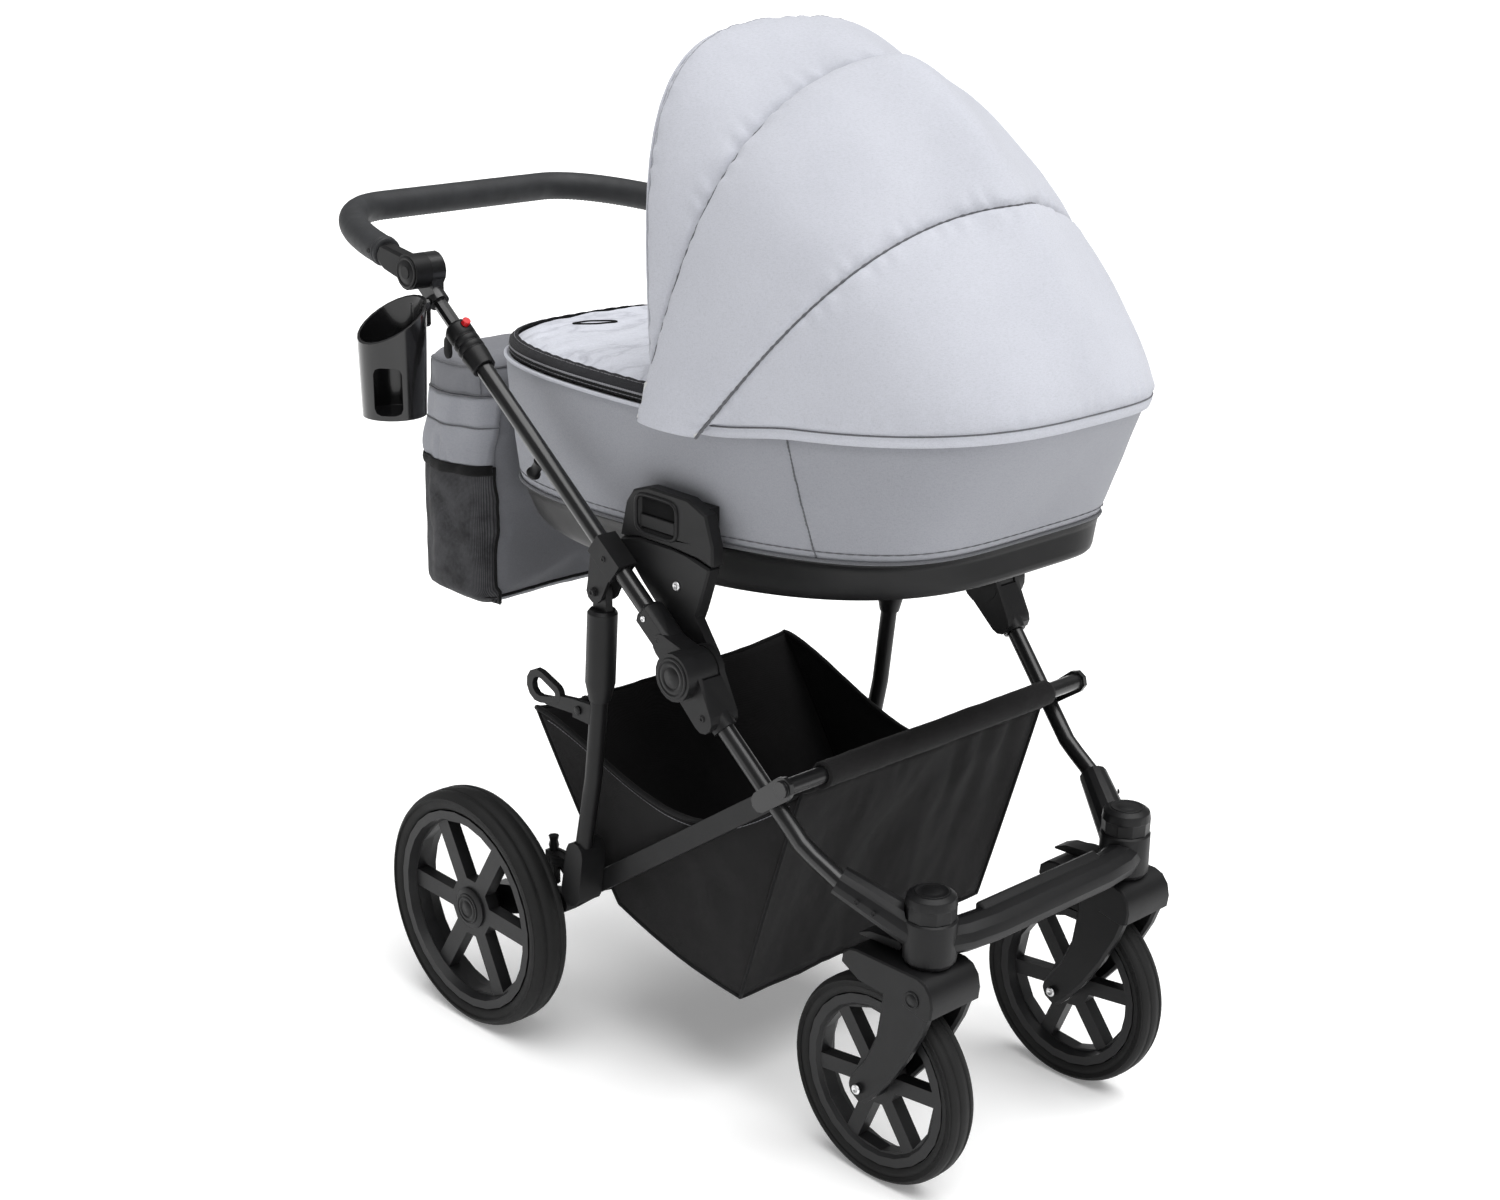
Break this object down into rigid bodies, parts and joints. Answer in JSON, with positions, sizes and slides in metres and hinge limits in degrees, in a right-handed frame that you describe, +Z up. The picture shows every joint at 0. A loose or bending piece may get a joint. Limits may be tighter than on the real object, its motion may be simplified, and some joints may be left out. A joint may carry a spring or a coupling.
{
  "type": "two-in-one pram",
  "caption": "Pram with a hooded carrycot on a folding four-wheel chassis, swivelling front casters, sprung rear arms, fabric basket, cup holder and rear bag.",
  "frame": {"origin": "bottom centre of the bounding box, on the floor", "axes": "+X is the direction of travel, +Y the pram's left side, +Z up"},
  "size_m": [1.0776, 0.6488, 1.2121],
  "materials": {
    "plastic": "matte",
    "fabric": "woven heather",
    "black_fabric": "woven",
    "tube": "satin black coating",
    "rim": "satin",
    "tyre": "matt",
    "grip": "soft matt foam",
    "lining": "soft woven",
    "red": "gloss"
  },
  "bodies": {
    "front_frame": {"caster_crossbar": "plastic", "basket_bar": "tube", "front_tube_left": "tube", "front_tube_right": "tube", "lower_socket_left": "plastic", "lower_socket_right": "plastic", "adaptor_left": "plastic", "adaptor_right": "plastic"},
    "upper_frame": {"side_tube_left": "tube", "side_tube_right": "tube", "upper_socket_left": "plastic", "upper_socket_right": "plastic", "leg_bracket_left": "plastic", "leg_bracket_right": "plastic"},
    "handle_slide": {"telescopic_tube_left": "tube", "telescopic_tube_right": "tube", "cup_holder": "plastic"},
    "handle": {"handle_bar": "plastic", "handle_grip": "grip"},
    "red_button": {"red_lock_button": "red"},
    "links": {"lower_link_left": "tube", "lower_link_right": "tube", "basket": "black_fabric"},
    "rear_legs": {"rear_leg_left": "tube", "rear_leg_right": "tube", "rear_crossmember": "plastic"},
    "ring": {"ring_lever": "plastic"},
    "pedal": {"brake_pedal": "plastic"},
    "carrycot": {"cot_shell": "fabric", "mattress": "lining", "apron": "fabric", "bag": "fabric", "cot_catch_left": "plastic", "cot_catch_right": "plastic", "hood_rear": "fabric"},
    "hood_middle": {"hood_middle": "fabric"},
    "hood_front": {"hood_front": "fabric"},
    "knob_left": {"caster_knob_left": "plastic"},
    "swivel_lock_left": {"swivel_lock_left": "plastic"},
    "fork_left": {"caster_fork_left": "plastic"},
    "front_wheel_left": {"front_tyre_left": "tyre", "front_rim_left": "rim"},
    "collar_left": {"release_collar_left": "plastic"},
    "handle_button_left": {"handle_button_left": "plastic"},
    "arm_left": {"swing_arm_left": "plastic"},
    "rear_wheel_left": {"rear_tyre_left": "tyre", "rear_rim_left": "rim"},
    "catch_left": {"catch_button_left": "plastic"},
    "knob_right": {"caster_knob_right": "plastic"},
    "swivel_lock_right": {"swivel_lock_right": "plastic"},
    "fork_right": {"caster_fork_right": "plastic"},
    "front_wheel_right": {"front_tyre_right": "tyre", "front_rim_right": "rim"},
    "collar_right": {"release_collar_right": "plastic"},
    "handle_button_right": {"handle_button_right": "plastic"},
    "arm_right": {"swing_arm_right": "plastic"},
    "rear_wheel_right": {"rear_tyre_right": "tyre", "rear_rim_right": "rim"},
    "catch_right": {"catch_button_right": "plastic"}
  },
  "joints": [
    {"name": "chassis_fold", "type": "hinge", "parent": "front_frame", "child": "upper_frame", "pos_m": [0.19765, 0.03014, 0.55], "axis": [0, 1, 0], "range_deg": [0, 90]},
    {"name": "lower_link_swing", "type": "hinge", "parent": "front_frame", "child": "links", "pos_m": [0.30165, 0.03014, 0.43], "axis": [0, 1, 0], "range_deg": [0, 45]},
    {"name": "rear_leg_swing", "type": "hinge", "parent": "links", "child": "rear_legs", "pos_m": [-0.00835, 0.03014, 0.217], "axis": [0, 1, 0], "range_deg": [0, 3]},
    {"name": "carrycot_lift", "type": "slide", "parent": "front_frame", "child": "carrycot", "axis": [0, 0, 1], "range_m": [0, 0.181]},
    {"name": "hood_front_fold", "type": "hinge", "parent": "carrycot", "child": "hood_front", "pos_m": [0.13165, 0.03014, 0.8], "axis": [0, 1, 0], "range_deg": [0, 55]},
    {"name": "hood_middle_fold", "type": "hinge", "parent": "carrycot", "child": "hood_middle", "pos_m": [0.13165, 0.03014, 0.8], "axis": [0, 1, 0], "range_deg": [0, 27.5]},
    {"name": "handle_extend", "type": "slide", "parent": "upper_frame", "child": "handle_slide", "axis": [-0.7902, 0, 0.6129], "range_m": [-0.03, 0.08]},
    {"name": "handle_angle", "type": "hinge", "parent": "handle_slide", "child": "handle", "pos_m": [-0.26935, 0.03014, 0.92], "axis": [0, 1, 0], "range_deg": [-40, 25]},
    {"name": "red_button_press", "type": "slide", "parent": "collar_right", "child": "red_button", "axis": [-0.6129, 0, -0.7902], "range_m": [0, 0.003], "stiffness_N_per_m": 400, "springref_m": -0.002},
    {"name": "release_collar_slide_left", "type": "slide", "parent": "upper_frame", "child": "collar_left", "axis": [-0.7902, 0, 0.6129], "range_m": [0, 0.008], "stiffness_N_per_m": 600, "springref_m": -0.003},
    {"name": "handle_button_press_left", "type": "slide", "parent": "handle", "child": "handle_button_left", "axis": [0, -1, 0], "range_m": [0, 0.003], "stiffness_N_per_m": 500, "springref_m": -0.002},
    {"name": "caster_swivel_left", "type": "hinge", "parent": "front_frame", "child": "fork_left", "pos_m": [0.47965, 0.19414, 0.2835], "axis": [0, 0, 1], "continuous": true},
    {"name": "front_wheel_spin_left", "type": "hinge", "parent": "fork_left", "child": "front_wheel_left", "pos_m": [0.41865, 0.19414, 0.12016], "axis": [0, 1, 0], "continuous": true},
    {"name": "caster_knob_turn_left", "type": "hinge", "parent": "front_frame", "child": "knob_left", "pos_m": [0.47965, 0.19414, 0.335], "axis": [0, 0, 1], "range_deg": [0, 60]},
    {"name": "swivel_lock_flip_left", "type": "hinge", "parent": "front_frame", "child": "swivel_lock_left", "pos_m": [0.44485, 0.19414, 0.292], "axis": [0, 1, 0], "range_deg": [0, 25]},
    {"name": "suspension_left", "type": "hinge", "parent": "rear_legs", "child": "arm_left", "pos_m": [-0.04035, 0.27014, 0.19], "axis": [0, 1, 0], "range_deg": [0, 6], "stiffness_Nm_per_rad": 300, "springref_deg": -1.72},
    {"name": "rear_wheel_spin_left", "type": "hinge", "parent": "arm_left", "child": "rear_wheel_left", "pos_m": [-0.16835, 0.29944, 0.14975], "axis": [0, 1, 0], "continuous": true},
    {"name": "catch_button_slide_left", "type": "slide", "parent": "carrycot", "child": "catch_left", "axis": [0, 0, 1], "range_m": [0, 0.01], "stiffness_N_per_m": 200, "springref_m": -0.004},
    {"name": "release_collar_slide_right", "type": "slide", "parent": "upper_frame", "child": "collar_right", "axis": [-0.7902, 0, 0.6129], "range_m": [0, 0.008], "stiffness_N_per_m": 600, "springref_m": -0.003},
    {"name": "handle_button_press_right", "type": "slide", "parent": "handle", "child": "handle_button_right", "axis": [0, 1, 0], "range_m": [0, 0.003], "stiffness_N_per_m": 500, "springref_m": -0.002},
    {"name": "caster_swivel_right", "type": "hinge", "parent": "front_frame", "child": "fork_right", "pos_m": [0.47965, -0.13386, 0.2835], "axis": [0, 0, 1], "continuous": true},
    {"name": "front_wheel_spin_right", "type": "hinge", "parent": "fork_right", "child": "front_wheel_right", "pos_m": [0.41865, -0.13386, 0.12016], "axis": [0, 1, 0], "continuous": true},
    {"name": "caster_knob_turn_right", "type": "hinge", "parent": "front_frame", "child": "knob_right", "pos_m": [0.47965, -0.13386, 0.335], "axis": [0, 0, 1], "range_deg": [0, 60]},
    {"name": "swivel_lock_flip_right", "type": "hinge", "parent": "front_frame", "child": "swivel_lock_right", "pos_m": [0.44485, -0.13386, 0.292], "axis": [0, 1, 0], "range_deg": [0, 25]},
    {"name": "suspension_right", "type": "hinge", "parent": "rear_legs", "child": "arm_right", "pos_m": [-0.04035, -0.20986, 0.19], "axis": [0, 1, 0], "range_deg": [0, 6], "stiffness_Nm_per_rad": 300, "springref_deg": -1.72},
    {"name": "rear_wheel_spin_right", "type": "hinge", "parent": "arm_right", "child": "rear_wheel_right", "pos_m": [-0.16835, -0.23916, 0.14975], "axis": [0, 1, 0], "continuous": true},
    {"name": "catch_button_slide_right", "type": "slide", "parent": "carrycot", "child": "catch_right", "axis": [0, 0, 1], "range_m": [0, 0.01], "stiffness_N_per_m": 200, "springref_m": -0.004},
    {"name": "ring_lever_pull", "type": "hinge", "parent": "rear_legs", "child": "ring", "pos_m": [0.00815, -0.20986, 0.452], "axis": [0, 1, 0], "range_deg": [0, 35], "stiffness_Nm_per_rad": 0.3, "springref_deg": -8.59},
    {"name": "brake_pedal_press", "type": "hinge", "parent": "rear_legs", "child": "pedal", "pos_m": [-0.00835, -0.13986, 0.217], "axis": [0, 1, 0], "range_deg": [-25, 0], "stiffness_Nm_per_rad": 1.5, "springref_deg": 6.88}
  ],
  "couplings": [
    {"joint": "lower_link_swing", "follows": "chassis_fold", "ratio": 0.496},
    {"joint": "rear_leg_swing", "follows": "chassis_fold", "ratio": 0.027},
    {"joint": "carrycot_lift", "follows": "chassis_fold", "m_per_rad": 0.1146},
    {"joint": "hood_middle_fold", "follows": "hood_front_fold", "ratio": 0.5}
  ]
}
